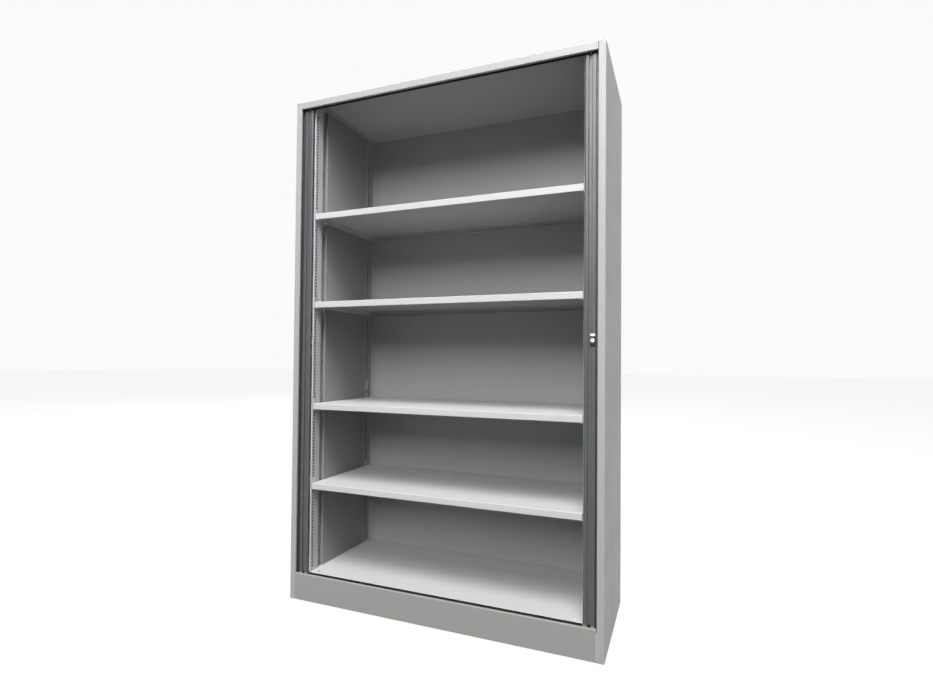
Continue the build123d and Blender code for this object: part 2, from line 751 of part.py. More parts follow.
def leading_profile():
    """Hollow pull profile: a finger groove between two ridges, and a rounded leading nose."""
    outer, lead = PROFILE_EDGE, LEADING_EDGE
    front, back = PROFILE_FRONT, PROFILE_BACK
    floor = front + GRIP_DEPTH
    outline = FilletPolyline(
        (outer, front),
        (outer + OUTER_RIDGE, front),
        (outer + OUTER_RIDGE, floor),
        (lead - LEADING_RIDGE, floor),
        (lead - LEADING_RIDGE, front),
        (lead, front),
        (lead, back),
        (outer, back),
        radius=[PROFILE_ROUND] * 5 + [NOSE_RADIUS] + [PROFILE_ROUND] * 2,
        close=True,
    )
    wall = PROFILE_WALL
    cavity = FilletPolyline(
        (outer + wall, front + wall),
        (outer + OUTER_RIDGE - wall, front + wall),
        (outer + OUTER_RIDGE - wall, floor + wall),
        (lead - LEADING_RIDGE + wall, floor + wall),
        (lead - LEADING_RIDGE + wall, front + wall),
        (lead - wall, front + wall),
        (lead - wall, back - wall),
        (outer + wall, back - wall),
        radius=[0.0] * 5 + [NOSE_RADIUS - wall] + [0.0] * 2,
        close=True,
    )
    section = make_face(outline) - make_face(cavity)
    profile = upward(section, PROFILE_BOTTOM, PROFILE_TOP)
    bolt_slot = block(
        (lead - 2 * wall, lead + wall),
        bolt_slot_depth(),
        (LOCK_HEIGHT - BOLT_SLOT_BELOW, LOCK_HEIGHT + BOLT_SLOT_ABOVE),
    )
    return profile - bolt_slot


def bolt_slot_depth():
    return (BOLT_PLANE - BOLT_SLOT_WIDTH / 2, BOLT_PLANE + BOLT_SLOT_WIDTH / 2)


def strike_height(margin):
    low = LOCK_HEIGHT - BOLT_SLOT_BELOW - STRIKE_MARGIN - margin
    high = LOCK_HEIGHT + BOLT_SLOT_ABOVE + STRIKE_MARGIN + margin
    return (low, high)


def strike_screw_places():
    low, high = strike_height(-STRIKE_MARGIN / 2)
    return [(BOLT_PLANE, low), (BOLT_PLANE, high)]


def left_leading_profile():
    """The profile with a recess for the strike plate in its leading edge."""
    half = STRIKE_WIDTH / 2 + FIT / 2
    recess = block(
        (LEADING_EDGE - STRIKE_THICKNESS, LEADING_EDGE + SHEET),
        (BOLT_PLANE - half, BOLT_PLANE + half),
        strike_height(FIT / 2),
    )
    profile = leading_profile() - recess
    radius = STRIKE_SCREW_RADIUS + SCREW_CLEARANCE
    for place in strike_screw_places():
        profile -= rod(place, radius, LEADING_EDGE - STRIKE_SCREW_LENGTH, LEADING_EDGE, axis="X")
    return profile


def strike_plate():
    half = STRIKE_WIDTH / 2
    face = (LEADING_EDGE - STRIKE_THICKNESS, LEADING_EDGE)
    plate = block(face, (BOLT_PLANE - half, BOLT_PLANE + half), strike_height(0))
    plate -= block(
        (face[0] - SHEET, face[1] + SHEET),
        bolt_slot_depth(),
        (LOCK_HEIGHT - BOLT_SLOT_BELOW, LOCK_HEIGHT + BOLT_SLOT_ABOVE),
    )
    radius = STRIKE_SCREW_RADIUS + SCREW_CLEARANCE
    for place in strike_screw_places():
        plate -= rod(place, radius, face[0] - SHEET, face[1] + SHEET, axis="X")
    return plate


def strike_screws():
    """Flush screws through the strike plate."""
    start = LEADING_EDGE - STRIKE_SCREW_LENGTH
    return [
        rod(place, STRIKE_SCREW_RADIUS, start, LEADING_EDGE, axis="X")
        for place in strike_screw_places()
    ]


def lock_cutout():
    half = LOCK_CUTOUT_WIDTH / 2
    return (
        (LOCK_EDGE - half, LOCK_EDGE + half),
        (PROFILE_FRONT, LOCK_CASE_BACK + LOCK_CASE_GAP),
        (LOCK_HEIGHT - LOCK_CUTOUT_BELOW, LOCK_HEIGHT + LOCK_CUTOUT_ABOVE),
    )


def lock_profile():
    """The profile that carries the lock, with an opening in its front wall."""
    x, y, z = lock_cutout()
    return leading_profile() - block(x, (y[0] - SHEET, y[1]), z)


def lock_case():
    """Cast body behind and above the cylinder; below it the cutout stays open."""
    x, y, z = lock_cutout()
    gap = LOCK_CASE_GAP
    wide = (x[0] + gap, x[1] - gap)
    escutcheon_low = LOCK_HEIGHT - ESCUTCHEON_SIZE[1] / 2
    case = block(wide, (PROFILE_FRONT, LOCK_CASE_BACK), (escutcheon_low, z[1] - gap))
    return case - cylinder_bore()


def lock_axis():
    return (LOCK_EDGE, LOCK_HEIGHT)


def cylinder_bore():
    return rod(lock_axis(), CYLINDER_RADIUS + FIT, CYLINDER_FRONT, PROFILE_BACK, axis="Y")


def lock_escutcheon():
    plate = extrude(
        Plane.XZ * RectangleRounded(*ESCUTCHEON_SIZE, ESCUTCHEON_ROUND),
        amount=ESCUTCHEON_THICKNESS,
    )
    return Pos(LOCK_EDGE, PROFILE_FRONT, LOCK_HEIGHT) * plate - cylinder_bore()


def lock_cylinder():
    """Fixed sleeve of the lock, flanged over the escutcheon, with a bore for the plug."""
    flange_back = CYLINDER_FRONT + CYLINDER_FLANGE
    sleeve = rod(lock_axis(), CYLINDER_FLANGE_RADIUS, CYLINDER_FRONT, flange_back, axis="Y")
    sleeve += rod(lock_axis(), CYLINDER_RADIUS, flange_back, LOCK_CASE_BACK, axis="Y")
    bore = PLUG_RADIUS + PLUG_CLEARANCE
    return sleeve - rod(lock_axis(), bore, CYLINDER_FRONT, LOCK_CASE_BACK, axis="Y")


def lock_plug():
    """Turning plug with a keyhole, and a square tail that carries the hook."""
    start = CYLINDER_FRONT - PLUG_PROUD
    plug = rod(lock_axis(), PLUG_RADIUS, start, HOOK_FRONT, axis="Y")
    tail = HOOK_FRONT + HOOK_THICKNESS
    plug += rod(lock_axis(), HOOK_TAIL_RADIUS, HOOK_FRONT, tail, axis="Y", sides=4)
    wide, tall = KEYHOLE_SIZE
    return plug - block(
        (LOCK_EDGE - wide / 2, LOCK_EDGE + wide / 2),
        (start, start + KEYHOLE_DEPTH),
        (LOCK_HEIGHT - tall / 2, LOCK_HEIGHT + tall / 2),
    )


def lock_hook():
    """Hook bolt in its open position: the arm points up and its barb towards the opening."""
    half = HOOK_HALF_WIDTH
    outline = Polyline(
        (-half, 0),
        (half, 0),
        (half, HOOK_BARB_START),
        (HOOK_BARB, HOOK_BARB_START),
        (HOOK_BARB, HOOK_REACH),
        (-half, HOOK_REACH),
        close=True,
    )
    shape = make_face(outline) + Circle(2 * half - FIT)
    shape -= RegularPolygon(HOOK_TAIL_RADIUS + PLUG_CLEARANCE, 4)
    hook = extrude(Plane.XZ * shape, amount=HOOK_THICKNESS)
    return Pos(LOCK_EDGE, HOOK_FRONT + HOOK_THICKNESS, LOCK_HEIGHT) * hook


def hook_screw():
    start = HOOK_FRONT + HOOK_THICKNESS
    return rod(lock_axis(), SCREW_HEAD_RADIUS, start, start + SHEET, axis="Y")


def glide_plug(start, end):
    """The part of a glide that fills the profile's end behind the finger groove."""
    wall = PROFILE_WALL + GLIDE_FIT
    x = (PROFILE_EDGE + wall, LEADING_EDGE - wall)
    y = (PROFILE_FRONT + GRIP_DEPTH + wall, PROFILE_BACK - wall)
    return block(x, y, (start, end))


def glide_depth():
    half = (BOTTOM_FRONT - PLINTH_LIP) / 2 - CHANNEL_CLEARANCE - SHEET - GLIDE_SIDE_GAP
    return (TRACK_LANE - half, TRACK_LANE + half)


def top_glide():
    """Plug in the profile's upper end, with a pin that runs in the top channel."""
    middle = (PROFILE_EDGE + OUTER_RIDGE + LEADING_EDGE - LEADING_RIDGE) / 2
    half = GLIDE_PIN_WIDTH / 2
    glide = glide_plug(PROFILE_TOP - GLIDE_PLUG, PROFILE_TOP)
    pin_top = TOP_PLATE_TOP - SHEET - GLIDE_TOP_GAP
    glide += block((middle - half, middle + half), glide_depth(), (PROFILE_TOP, pin_top))
    return glide


def bottom_glide():
    """Plug with two feet that carry the profile's ridges in the bottom channel."""
    foot_low = CHANNEL_FLOOR + SHEET + GLIDE_FLOOR_GAP
    glide = glide_plug(PROFILE_BOTTOM, PROFILE_BOTTOM + GLIDE_PLUG)
    feet = (
        (PROFILE_EDGE + FIT, PROFILE_EDGE + OUTER_RIDGE - FIT),
        (LEADING_EDGE - LEADING_RIDGE + FIT, LEADING_EDGE - FIT),
    )
    for foot in feet:
        glide += block(foot, glide_depth(), (foot_low, PROFILE_BOTTOM))
    return glide


# ---- Feet and screws ----
def foot_places():
    return [(FOOT_EDGE, FOOT_FRONT), (FOOT_EDGE, FOOT_REAR)]


def levelling_foot(place):
    foot = rod(place, FOOT_PAD_RADIUS, 0, FOOT_PAD_HEIGHT)
    nut_top = FOOT_PAD_HEIGHT + FOOT_NUT_HEIGHT
    foot += rod(place, FOOT_NUT_RADIUS, FOOT_PAD_HEIGHT, nut_top, sides=6)
    foot += rod(place, FOOT_STUD_RADIUS, nut_top, FOOT_STUD_TOP)
    return foot


def foot_bracket(place):
    """Hat-shaped bracket under the bottom panel, with the foot threaded into its web."""
    x, y = place
    sheet = BRACKET_SHEET
    inner = BRACKET_HALF_WIDTH
    outer = inner + BRACKET_FLANGE
    top = PLINTH_TOP - SHEET - sheet
    web = BRACKET_WEB
    section = folded(
        [
            (x - outer, top),
            (x - inner, top),
            (x - inner, web),
            (x + inner, web),
            (x + inner, top),
            (x + outer, top),
        ],
        sheet=sheet,
        radius=sheet,
    )
    bracket = backward(section, y - BRACKET_HALF_LENGTH, y + BRACKET_HALF_LENGTH)
    return bracket - rod(place, FOOT_STUD_RADIUS + FOOT_STUD_CLEARANCE, 0, web + 2 * sheet)


def back_screw(height):
    axis = (BACK_SCREW_EDGE, height)
    head = rod(axis, SCREW_HEAD_RADIUS, REAR, DEPTH, axis="Y")
    return head + rod(axis, SCREW_SHANK_RADIUS, REAR - 3 * SHEET, REAR, axis="Y")


def ceiling_screw(place):
    low = LINER_TOP - SHEET
    axis = (CEILING_SCREW_EDGE, place)
    head = rod(axis, SCREW_HEAD_RADIUS, low - SCREW_HEAD_HEIGHT, low)
    return head + rod(axis, SCREW_SHANK_RADIUS, low, CEILING + SHEET / 4)


# ---- The nodes ----
nodes = {
    "left_side_panel": side_panel(),
    "right_side_panel": mirrored(side_panel()),
    "top_panel": top_panel(),
    "back_panel": back_panel(),
    "bottom_panel": bottom_panel(),
    "plinth_front": plinth_front(),
    "plinth_back": plinth_back(),
    "left_liner": liner(),
    "right_liner": mirrored(liner()),
    "left_front_upright": front_upright(),
    "right_front_upright": mirrored(front_upright()),
    "left_rear_upright": rear_upright(),
    "right_rear_upright": mirrored(rear_upright()),
    "front_bottom_track": front_bottom_track(),
    "front_top_track": front_top_track(),
    "left_curtain_slats": curtain_slats(),
    "right_curtain_slats": [mirrored(slat) for slat in curtain_slats()],
    "left_leading_profile": left_leading_profile(),
    "right_leading_profile": mirrored(lock_profile()),
    "left_top_glide": top_glide(),
    "right_top_glide": mirrored(top_glide()),
    "left_bottom_glide": bottom_glide(),
    "right_bottom_glide": mirrored(bottom_glide()),
    "strike_plate": strike_plate(),
    "strike_screws": strike_screws(),
    "lock_case": mirrored(lock_case()),
    "lock_escutcheon": mirrored(lock_escutcheon()),
    "lock_cylinder": mirrored(lock_cylinder()),
    "lock_plug": mirrored(lock_plug()),
    "lock_hook": mirrored(lock_hook()),
    "hook_screw": mirrored(hook_screw()),
    "spare_shelf_clip": shelf_clip(REAR_SLOT_ROW, SPARE_CLIP_SLOT),
    "levelling_feet": both_sides([levelling_foot(place) for place in foot_places()]),
    "foot_brackets": both_sides([foot_bracket(place) for place in foot_places()]),
    "back_screws": both_sides([back_screw(height) for height in BACK_SCREW_HEIGHTS]),
    "ceiling_screws": both_sides([ceiling_screw(place) for place in CEILING_SCREW_PLACES]),
}
for side, place in (("left", lambda part: part), ("right", mirrored)):
    nodes[side + "_bottom_track"] = place(
        track_plate(POCKET_FLOOR, PLINTH_TOP - TRACK_GROOVE_DEPTH)
    )
    nodes[side + "_top_track"] = place(track_plate(TOP_PLATE_BOTTOM, TOP_PLATE_BOTTOM))
for number, (slot, top) in enumerate(zip(SHELF_SLOTS, SHELF_TOPS), start=1):
    nodes["shelf_%d" % number] = shelf(top)
    nodes["shelf_%d_clips" % number] = shelf_clips(slot)

os.makedirs("parts", exist_ok=True)
for name, pieces in nodes.items():
    pieces = pieces if isinstance(pieces, list) else [pieces]
    solids = [solid for piece in pieces for solid in piece.solids()]
    whole = solids[0] if len(solids) == 1 else Compound(children=solids)
    export_step(Pos(-WIDTH / 2, -DEPTH / 2, 0) * whole, "parts/%s.step" % name)
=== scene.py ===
import json

import bmesh
import bpy
from mathutils import Matrix, Vector

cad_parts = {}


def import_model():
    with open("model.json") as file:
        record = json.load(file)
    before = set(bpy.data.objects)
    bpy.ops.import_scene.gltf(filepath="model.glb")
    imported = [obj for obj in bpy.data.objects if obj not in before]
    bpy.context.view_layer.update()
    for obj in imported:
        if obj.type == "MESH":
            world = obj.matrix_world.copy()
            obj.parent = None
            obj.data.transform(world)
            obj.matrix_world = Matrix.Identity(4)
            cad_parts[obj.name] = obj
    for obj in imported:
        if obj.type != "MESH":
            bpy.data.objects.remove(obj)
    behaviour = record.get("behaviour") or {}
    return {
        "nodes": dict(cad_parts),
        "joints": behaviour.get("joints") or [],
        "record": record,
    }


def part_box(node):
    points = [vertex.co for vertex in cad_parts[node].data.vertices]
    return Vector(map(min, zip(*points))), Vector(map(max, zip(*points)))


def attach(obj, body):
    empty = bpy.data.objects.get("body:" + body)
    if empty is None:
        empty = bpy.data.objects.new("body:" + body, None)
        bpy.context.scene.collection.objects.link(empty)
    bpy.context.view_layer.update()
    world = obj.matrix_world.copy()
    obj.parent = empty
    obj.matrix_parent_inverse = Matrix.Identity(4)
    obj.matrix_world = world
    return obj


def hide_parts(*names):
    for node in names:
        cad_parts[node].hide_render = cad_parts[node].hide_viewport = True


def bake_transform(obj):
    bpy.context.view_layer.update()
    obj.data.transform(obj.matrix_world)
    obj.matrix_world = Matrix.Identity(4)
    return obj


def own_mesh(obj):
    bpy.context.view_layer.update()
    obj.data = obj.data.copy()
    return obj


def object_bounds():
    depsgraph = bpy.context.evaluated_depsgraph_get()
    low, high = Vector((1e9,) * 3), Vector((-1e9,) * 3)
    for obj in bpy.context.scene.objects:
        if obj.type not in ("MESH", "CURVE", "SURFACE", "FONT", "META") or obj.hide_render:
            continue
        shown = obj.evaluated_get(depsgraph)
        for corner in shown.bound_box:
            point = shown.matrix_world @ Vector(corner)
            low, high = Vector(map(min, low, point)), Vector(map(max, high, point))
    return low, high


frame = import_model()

cad_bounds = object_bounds()
scene = bpy.context.scene
nodes = frame["nodes"]

# ---- Picture ----
IMAGE_WIDTH = 933  # pixels
FOCAL_PIXELS = 536.7
SENSOR_WIDTH = 36.0  # millimetres
CAMERA_PLACE = (0.821, -1.9443, 0.936)  # metres
CAMERA_RIGHT = (0.9280, 0.3724, 0.0084)
CAMERA_UP = (-0.0006, -0.0210, 0.9998)

# ---- Roller fronts, in metres ----
SLAT_PITCH = 0.0125
SLAT_THICKNESS = 0.005
SLAT_JOINT = 0.0011  # width of the groove between two slats
SLAT_JOINT_DEPTH = 0.0016
SLAT_ROUND = 0.0006
ROUND_MIDDLE = 0.3  # where the rounding's middle point lies, as a share of it
HIDDEN_BEHIND_POST = 0.009  # outer face of the cupboard to the hidden end of the curtain
PACKED_END = 0.0255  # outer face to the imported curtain's end at the leading profile
HALVINGS = 50

# ---- Light ----
BACKGROUND = (0.985, 0.992, 1.0)
WORLD_SHOWN = 0.97  # how bright the world looks
WORLD_LIGHT = 0.012  # how much it lights the object
FLOOR_HALF = 40.0
FLOOR_GLOW = 0.93  # share of the floor's look that no shadow darkens
FLOOR_SHADOWED = (0.82, 0.83, 0.84)
FLOOR_RETURN = (0.06, 0.06, 0.058)
LAMP_TARGET = (0.0, 0.0, 1.0)
LAMPS = {  # place, size, power in watts, colour
    "high_front": ((0.6, -11.0, 6.8), (4.6, 5.0), 1000.0, (1.0, 1.0, 0.985)),
    "overhead_front": ((0.6, -4.6, 6.4), (3.0, 2.0), 230.0, (1.0, 1.0, 0.99)),
    "steep_front": ((0.9, -2.6, 6.2), (2.4, 1.8), 380.0, (0.985, 0.995, 1.0)),
    "near_right": ((1.0, -1.7, 3.1), (0.7, 0.5), 10.0, (1.0, 1.0, 0.985)),
    "right_side": ((6.5, 0.8, 3.6), (3.0, 2.4), 130.0, (0.99, 1.0, 1.0)),
    "rear_left": ((-5.5, 6.0, 8.0), (5.0, 3.6), 1750.0, (0.98, 0.99, 1.0)),
}

# ---- Colours ----
PAINT = (0.335, 0.348, 0.340)
# Lighter copy of the body paint: painted light on the shelves, the bottom and the front uprights.
PAINT_PAINTED_LIGHT = (0.48, 0.495, 0.492)
# Darker copy of the body paint: painted shade on the plinth and the liners.
PAINT_PAINTED_SHADE = (0.275, 0.282, 0.270)
DUST = (0.80, 0.81, 0.80)
PVC = (0.064, 0.069, 0.074)
TRACK_PLASTIC = (0.016, 0.016, 0.017)
GLIDE_PLASTIC = (0.24, 0.24, 0.23)
BLACK_PLASTIC = (0.020, 0.021, 0.023)
BLACK_STEEL = (0.03, 0.03, 0.032)
ZINC = (0.76, 0.77, 0.79)
ZINC_TARNISH = (0.76, 0.72, 0.63)
CHROME = (0.78, 0.79, 0.81)


# ---- Materials ----
class Shader:
    """A node material in the making: a Principled shader with helpers for its textures."""

    def __init__(self, name, color, roughness, metallic=0.0, specular=0.5):
        self.material = bpy.data.materials.new(name)
        self.material.use_nodes = True
        self.tree = self.material.node_tree
        self.shader = self.tree.nodes["Principled BSDF"]
        self.shader.inputs["Base Color"].default_value = (*color, 1.0)
        self.shader.inputs["Roughness"].default_value = roughness
        self.shader.inputs["Metallic"].default_value = metallic
        self.shader.inputs["Specular IOR Level"].default_value = specular
        self.place = self.tree.nodes.new("ShaderNodeTexCoord").outputs["Object"]
        self.color = color
        self.normal = None

    def link(self, source, target):
        self.tree.links.new(source, target)

    def stretched(self, scale):
        mapping = self.tree.nodes.new("ShaderNodeMapping")
        mapping.inputs["Scale"].default_value = scale
        self.link(self.place, mapping.inputs["Vector"])
        return mapping.outputs["Vector"]

    def noise(self, scale, detail, stretch=None):
        node = self.tree.nodes.new("ShaderNodeTexNoise")
        node.inputs["Scale"].default_value = scale
        node.inputs["Detail"].default_value = detail
        self.link(self.stretched(stretch) if stretch else self.place, node.inputs["Vector"])
        return node.outputs["Fac"]

    def ramp(self, value, low, high, to_low=0.0, to_high=1.0):
        node = self.tree.nodes.new("ShaderNodeMapRange")
        node.inputs["From Min"].default_value = low
        node.inputs["From Max"].default_value = high
        node.inputs["To Min"].default_value = to_low
        node.inputs["To Max"].default_value = to_high
        self.link(value, node.inputs["Value"])
        return node.outputs["Result"]

    def times(self, first, second):
        node = self.tree.nodes.new("ShaderNodeMath")
        node.operation = "MULTIPLY"
        self.link(first, node.inputs[0])
        self.link(second, node.inputs[1])
        return node.outputs["Value"]

    def tint(self, factor, color):
        """Blends another colour over the base colour where the factor says."""
        node = self.tree.nodes.new("ShaderNodeMix")
        node.data_type = "RGBA"
        base = self.shader.inputs["Base Color"]
        if base.is_linked:
            self.link(base.links[0].from_socket, node.inputs["A"])
        else:
            node.inputs["A"].default_value = (*self.color, 1.0)
        node.inputs["B"].default_value = (*color, 1.0)
        self.link(factor, node.inputs["Factor"])
        self.link(node.outputs["Result"], base)

    def roughen(self, value):
        self.link(value, self.shader.inputs["Roughness"])

    def bump(self, height, distance, strength=1.0):
        node = self.tree.nodes.new("ShaderNodeBump")
        node.inputs["Distance"].default_value = distance
        node.inputs["Strength"].default_value = strength
        self.link(height, node.inputs["Height"])
        if self.normal:
            self.link(self.normal, node.inputs["Normal"])
        self.normal = node.outputs["Normal"]
        self.link(self.normal, self.shader.inputs["Normal"])

    def soften_edges(self, radius):
        node = self.tree.nodes.new("ShaderNodeBevel")
        node.samples = 4
        node.inputs["Radius"].default_value = radius
        self.normal = node.outputs["Normal"]
        self.link(self.normal, self.shader.inputs["Normal"])


def shade(color, share):
    return tuple(channel * share for channel in color)


def paint(name, color):
    """Grey baked enamel: smooth and satin, with a faint orange peel, dust and rubs."""
    made = Shader(name, color, 0.42, specular=0.3)
    made.soften_edges(0.0010)
    made.tint(made.ramp(made.noise(1.6, 2.0), 0.3, 0.75), shade(color, 0.965))
    streaks = made.ramp(made.noise(9.0, 4.0, (1.0, 1.0, 0.12)), 0.58, 0.8, 0.0, 0.12)
    made.tint(streaks, shade(color, 0.86))
    specks = made.ramp(made.noise(310.0, 1.0), 0.745, 0.785, 0.0, 0.4)
    patches = made.ramp(made.noise(7.0, 2.0), 0.5, 0.62)
    made.tint(made.times(specks, patches), DUST)
    made.roughen(made.ramp(made.noise(14.0, 4.0), 0.3, 0.75, 0.38, 0.48))
    made.bump(made.noise(900.0, 2.0), 0.00003)
    made.bump(made.noise(3.0, 1.0), 0.0009, 0.12)
    return made.material


def pvc():
    """Dark grey extruded PVC with fine drawing lines along its length."""
    made = Shader("curtain_pvc", PVC, 0.38)
    made.soften_edges(0.0004)
    lines = made.noise(1500.0, 2.0, (1.0, 1.0, 0.004))
    made.tint(made.ramp(lines, 0.3, 0.75, 0.0, 0.5), shade(PVC, 0.72))
    made.tint(made.ramp(made.noise(30.0, 4.0), 0.52, 0.8, 0.0, 0.3), shade(PVC, 1.7))
    made.roughen(made.ramp(made.noise(45.0, 3.0), 0.3, 0.75, 0.3, 0.48))
    made.bump(lines, 0.00004)
    return made.material


def moulded_plastic(name, color, roughness):
    made = Shader(name, color, roughness)
    made.soften_edges(0.0003)
    made.tint(made.ramp(made.noise(60.0, 3.0), 0.4, 0.75, 0.0, 0.45), shade(color, 0.8))
    made.roughen(made.ramp(made.noise(80.0, 2.0), 0.3, 0.7, roughness - 0.07, roughness + 0.1))
    made.bump(made.noise(2600.0, 2.0), 0.00002)
    return made.material


def zinc():
    """Bright zinc plate with a cloudy, slightly brushed face."""
    made = Shader("zinc", ZINC, 0.32, metallic=1.0)
    made.soften_edges(0.0003)
    made.tint(made.ramp(made.noise(240.0, 4.0), 0.35, 0.72), shade(ZINC, 0.68))
    made.tint(made.ramp(made.noise(40.0, 3.0), 0.55, 0.75, 0.0, 0.5), ZINC_TARNISH)
    made.roughen(made.ramp(made.noise(300.0, 3.0), 0.3, 0.7, 0.22, 0.46))
    made.bump(made.noise(1400.0, 2.0, (1.0, 1.0, 0.2)), 0.00003)
    return made.material


def chrome():
    made = Shader("chrome", CHROME, 0.12, metallic=1.0)
    made.soften_edges(0.0003)
    made.tint(made.ramp(made.noise(220.0, 3.0), 0.55, 0.8), shade(CHROME, 0.8))
    made.roughen(made.ramp(made.noise(150.0, 3.0), 0.35, 0.75, 0.08, 0.2))
    made.bump(made.noise(2200.0, 1.0), 0.00001)
    return made.material


materials = {
    "cabinet_paint": paint("cabinet_paint", PAINT),
    # Lighter copy of the body paint, as painted light.
    "shelf_paint": paint("shelf_paint", PAINT_PAINTED_LIGHT),
    # Darker copy of the body paint, as painted shade.
    "paint_painted_shade": paint("paint_painted_shade", PAINT_PAINTED_SHADE),
    "curtain_pvc": pvc(),
    "track_plastic": moulded_plastic("track_plastic", TRACK_PLASTIC, 0.45),
    "glide_plastic": moulded_plastic("glide_plastic", GLIDE_PLASTIC, 0.42),
    "black_plastic": moulded_plastic("black_plastic", BLACK_PLASTIC, 0.25),
    "zinc": zinc(),
    "black_steel": moulded_plastic("black_steel", BLACK_STEEL, 0.4),
    "chrome": chrome(),
}


SHELF_COUNT = 4
# Painted light and shade: the bottom, shelves and front uprights get a lighter copy of the body
# paint as painted light, the plinth and liners a darker copy as painted shade.
SHADES = {"bottom_panel": "shelf_paint", "plinth_front": "paint_painted_shade"}
SHADES.update({"shelf_%d" % number: "shelf_paint" for number in range(1, SHELF_COUNT + 1)})
SHADES.update({side + "_front_upright": "shelf_paint" for side in ("left", "right")})
SHADES.update({side + "_liner": "paint_painted_shade" for side in ("left", "right")})


def dress(piece, slot_name, shade_name=None):
    piece.data.materials.clear()
    piece.data.materials.append(materials[shade_name or slot_name])


for part in frame["record"]["subparts"]:
    dress(nodes[part["node"]], part["material_slot"], SHADES.get(part["node"]))


# ---- Roller fronts ----
left_edge, right_edge = cad_bounds[0][0], cad_bounds[1][0]
slide = next(joint for joint in frame["joints"] if joint["name"] == "left_door_slide")
TRAVEL = slide["range_m"][1]


def side_of(side):
    """The outer face of one side, and the direction from it towards the opening."""
    return (left_edge, 1.0) if side == "left" else (right_edge, -1.0)


def stored_curtain(side):
    """The slats in the pocket, without those that the drawn curtain takes at the front."""
    node = nodes[side + "_curtain_slats"]
    corner_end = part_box(side + "_front_upright")[0].y
    piece = bpy.data.objects.new(side + "_curtain_stored", node.data.copy())
    scene.collection.objects.link(piece)
    mesh = bmesh.new()
    mesh.from_mesh(piece.data)
    loose = set(mesh.verts)
    dropped = []
    while loose:
        island, edge = [], [loose.pop()]
        while edge:
            vertex = edge.pop()
            island.append(vertex)
            near = {e.other_vert(vertex) for e in vertex.link_edges} & loose
            loose -= near
            edge.extend(near)
        if min(vertex.co.y for vertex in island) < corner_end:
            dropped.extend(island)
    bmesh.ops.delete(mesh, geom=dropped, context="VERTS")
    mesh.to_mesh(piece.data)
    mesh.free()
    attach(piece, "carcass")
    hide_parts(side + "_curtain_slats")
    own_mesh(piece)


def slat_outline():
    """One slat's front line as (along, depth) points, from joint to joint."""
    half_joint = SLAT_JOINT / 2
    end = SLAT_PITCH - half_joint
    round_middle = SLAT_ROUND * ROUND_MIDDLE
    return [
        (0.0, SLAT_JOINT_DEPTH),
        (half_joint, SLAT_JOINT_DEPTH),
        (half_joint, SLAT_ROUND),
        (half_joint + round_middle, round_middle),
        (half_joint + SLAT_ROUND, 0.0),
        (end - SLAT_ROUND, 0.0),
        (end - round_middle, round_middle),
        (end, SLAT_ROUND),
        (end, SLAT_JOINT_DEPTH),
    ]


def drawn_place(rest):
    """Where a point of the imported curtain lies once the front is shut."""
    share = (rest - HIDDEN_BEHIND_POST) / (PACKED_END - HIDDEN_BEHIND_POST)
    share = min(1.0, max(0.0, share))
    return rest + share * share * (3 - 2 * share) * TRAVEL


def packed_place(drawn):
    """The inverse of drawn_place, by halving."""
    low, high = HIDDEN_BEHIND_POST, PACKED_END
    for _ in range(HALVINGS):
        middle = (low + high) / 2
        if drawn_place(middle) < drawn:
            low = middle
        else:
            high = middle
    return (low + high) / 2


def ribbon(name, along, lane, low, high, shade_name=None):
    """A closed strip of slats: along holds (place, depth) pairs, lane is its middle plane."""
    mesh = bmesh.new()
    rows = []
    for x, depth in along:
        inset = SLAT_THICKNESS / 2 - depth
        rows.append(
            [
                mesh.verts.new((x, lane - inset, low)),
                mesh.verts.new((x, lane - inset, high)),
                mesh.verts.new((x, lane + inset, high)),
                mesh.verts.new((x, lane + inset, low)),
            ]
        )
    for before, after in zip(rows, rows[1:]):
        for i in range(4):
            j = (i + 1) % 4
            mesh.faces.new((before[i], before[j], after[j], after[i]))
    mesh.faces.new(rows[0][::-1])
    mesh.faces.new(rows[-1])
    bmesh.ops.recalc_face_normals(mesh, faces=mesh.faces)
    data = bpy.data.meshes.new(name)
    mesh.to_mesh(data)
    mesh.free()
    piece = bpy.data.objects.new(name, data)
    scene.collection.objects.link(piece)
    dress(piece, "curtain_pvc", shade_name)
    return piece


def slat_limits(side):
    low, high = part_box(side + "_curtain_slats")
    profile_low, profile_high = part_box(side + "_leading_profile")
    return low.z, high.z, (profile_low.y + profile_high.y) / 2


def drawn_curtain(side):
    """The stretch that closes the opening, packed behind the post while the front is open."""
    edge, inward = side_of(side)
    low, high, lane = slat_limits(side)
    end = PACKED_END + TRAVEL
    along = []
    start = end
    while start - SLAT_PITCH > HIDDEN_BEHIND_POST:
        start -= SLAT_PITCH
        along = [(start + x, depth) for x, depth in slat_outline()] + along
    placed = [(edge + inward * packed_place(x), depth) for x, depth in along]
    piece = ribbon(side + "_curtain_drawn", placed, lane, low, high)
    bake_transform(piece)


def curtain_hem(side):
    """The curtain's last strip, which hooks into the leading profile, dressed in black plastic as
    painted shadow beside the profile.
    """
    edge, inward = side_of(side)
    low, high, lane = slat_limits(side)
    profile_edge = min(abs(corner.x - edge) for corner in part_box(side + "_leading_profile"))
    along = [
        (PACKED_END, SLAT_JOINT_DEPTH),
        (PACKED_END + SLAT_JOINT / 2, SLAT_JOINT_DEPTH),
        (PACKED_END + SLAT_JOINT / 2, SLAT_ROUND),
        (PACKED_END + SLAT_JOINT / 2 + SLAT_ROUND, 0.0),
        (profile_edge, 0.0),
    ]
    placed = [(edge + inward * x, depth) for x, depth in along]
    # Black plastic instead of the curtain's PVC: painted shadow in the gap beside the profile.
    piece = ribbon(side + "_curtain_hem", placed, lane, low, high, "track_plastic")
    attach(piece, side + "_door")


for side in ("left", "right"):
    stored_curtain(side)
    drawn_curtain(side)
    curtain_hem(side)


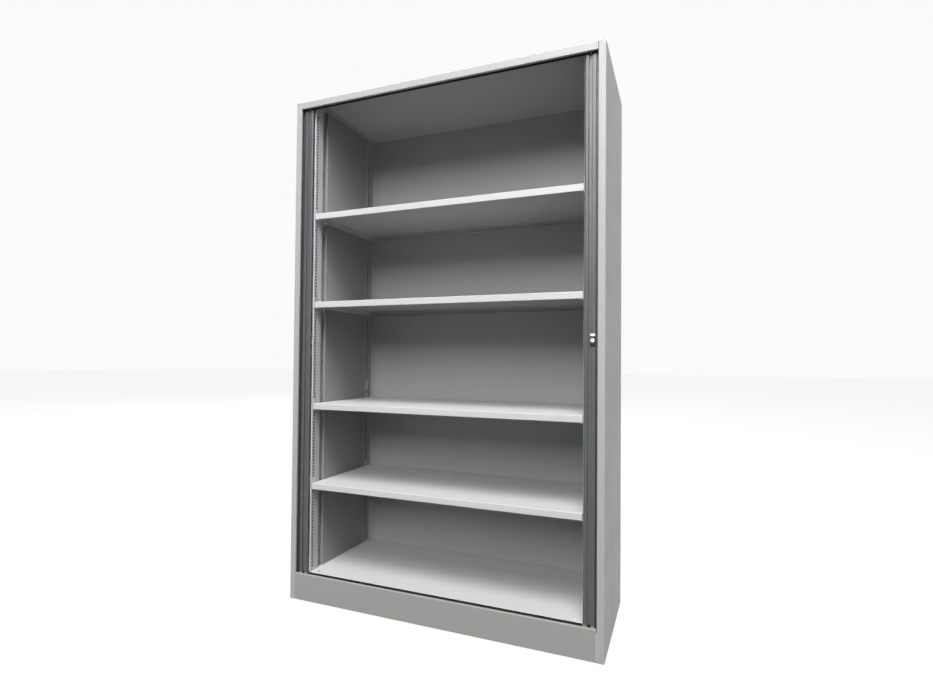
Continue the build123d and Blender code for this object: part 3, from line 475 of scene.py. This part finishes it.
# ---- Room, light and camera ----
def seen_directly(tree):
    """One for camera, mirror and glass rays, nought for the light that falls on the object."""
    path = tree.nodes.new("ShaderNodeLightPath")
    value = path.outputs["Is Camera Ray"]
    for other in ("Is Glossy Ray", "Is Transmission Ray"):
        node = tree.nodes.new("ShaderNodeMath")
        node.operation = "MAXIMUM"
        tree.links.new(value, node.inputs[0])
        tree.links.new(path.outputs[other], node.inputs[1])
        value = node.outputs["Value"]
    return value


def mixed(tree, factor, first, second):
    node = tree.nodes.new("ShaderNodeMixShader")
    if isinstance(factor, float):
        node.inputs["Fac"].default_value = factor
    else:
        tree.links.new(factor, node.inputs["Fac"])
    tree.links.new(first, node.inputs[1])
    tree.links.new(second, node.inputs[2])
    return node.outputs["Shader"]


def floor_material():
    """Pale to the eye, with the object's shadow on it, and a mid grey for the light it returns."""
    material = bpy.data.materials.new("floor")
    material.use_nodes = True
    tree = material.node_tree
    tree.nodes.remove(tree.nodes["Principled BSDF"])
    returned = tree.nodes.new("ShaderNodeBsdfDiffuse")
    returned.inputs["Color"].default_value = (*FLOOR_RETURN, 1.0)
    shadowed = tree.nodes.new("ShaderNodeBsdfDiffuse")
    shadowed.inputs["Color"].default_value = (*FLOOR_SHADOWED, 1.0)
    glow = tree.nodes.new("ShaderNodeEmission")
    glow.inputs["Color"].default_value = (*BACKGROUND, 1.0)
    pale = mixed(tree, FLOOR_GLOW, shadowed.outputs["BSDF"], glow.outputs["Emission"])
    whole = mixed(tree, seen_directly(tree), returned.outputs["BSDF"], pale)
    tree.links.new(whole, tree.nodes["Material Output"].inputs["Surface"])
    return material


def floor():
    mesh = bmesh.new()
    bmesh.ops.create_grid(mesh, x_segments=1, y_segments=1, size=FLOOR_HALF)
    data = bpy.data.meshes.new("floor")
    mesh.to_mesh(data)
    mesh.free()
    made = bpy.data.objects.new("floor", data)
    made.location = (0, 0, cad_bounds[0][2])
    made.data.materials.append(floor_material())
    scene.collection.objects.link(made)


def world():
    made = bpy.data.worlds.new("studio")
    scene.world = made
    made.use_nodes = True
    tree = made.node_tree
    background = tree.nodes["Background"]
    background.inputs["Color"].default_value = (*BACKGROUND, 1.0)
    level = tree.nodes.new("ShaderNodeMapRange")
    level.inputs["To Min"].default_value = WORLD_LIGHT
    level.inputs["To Max"].default_value = WORLD_SHOWN
    tree.links.new(seen_directly(tree), level.inputs["Value"])
    tree.links.new(level.outputs["Result"], background.inputs["Strength"])


def lamp(name, place, size, power, color):
    data = bpy.data.lights.new(name, "AREA")
    data.shape = "RECTANGLE"
    data.size, data.size_y = size
    data.energy = power
    data.color = color
    made = bpy.data.objects.new(name, data)
    made.location = place
    made.visible_camera = False
    aim = Vector(LAMP_TARGET) - Vector(place)
    made.rotation_euler = aim.to_track_quat("-Z", "Y").to_euler()
    scene.collection.objects.link(made)


def camera():
    data = bpy.data.cameras.new("camera")
    data.sensor_width = SENSOR_WIDTH
    data.sensor_fit = "HORIZONTAL"
    data.lens = FOCAL_PIXELS * SENSOR_WIDTH / IMAGE_WIDTH
    made = bpy.data.objects.new("camera", data)
    right, up = Vector(CAMERA_RIGHT), Vector(CAMERA_UP)
    right.normalize()
    back = right.cross(up).normalized()
    up = back.cross(right)
    turn = Matrix((right, up, back)).transposed().to_4x4()
    made.matrix_world = Matrix.Translation(CAMERA_PLACE) @ turn
    scene.collection.objects.link(made)
    scene.camera = made


floor()
world()
for name, (place, size, power, color) in LAMPS.items():
    lamp(name, place, size, power, color)
camera()
scene.view_settings.view_transform = "Standard"

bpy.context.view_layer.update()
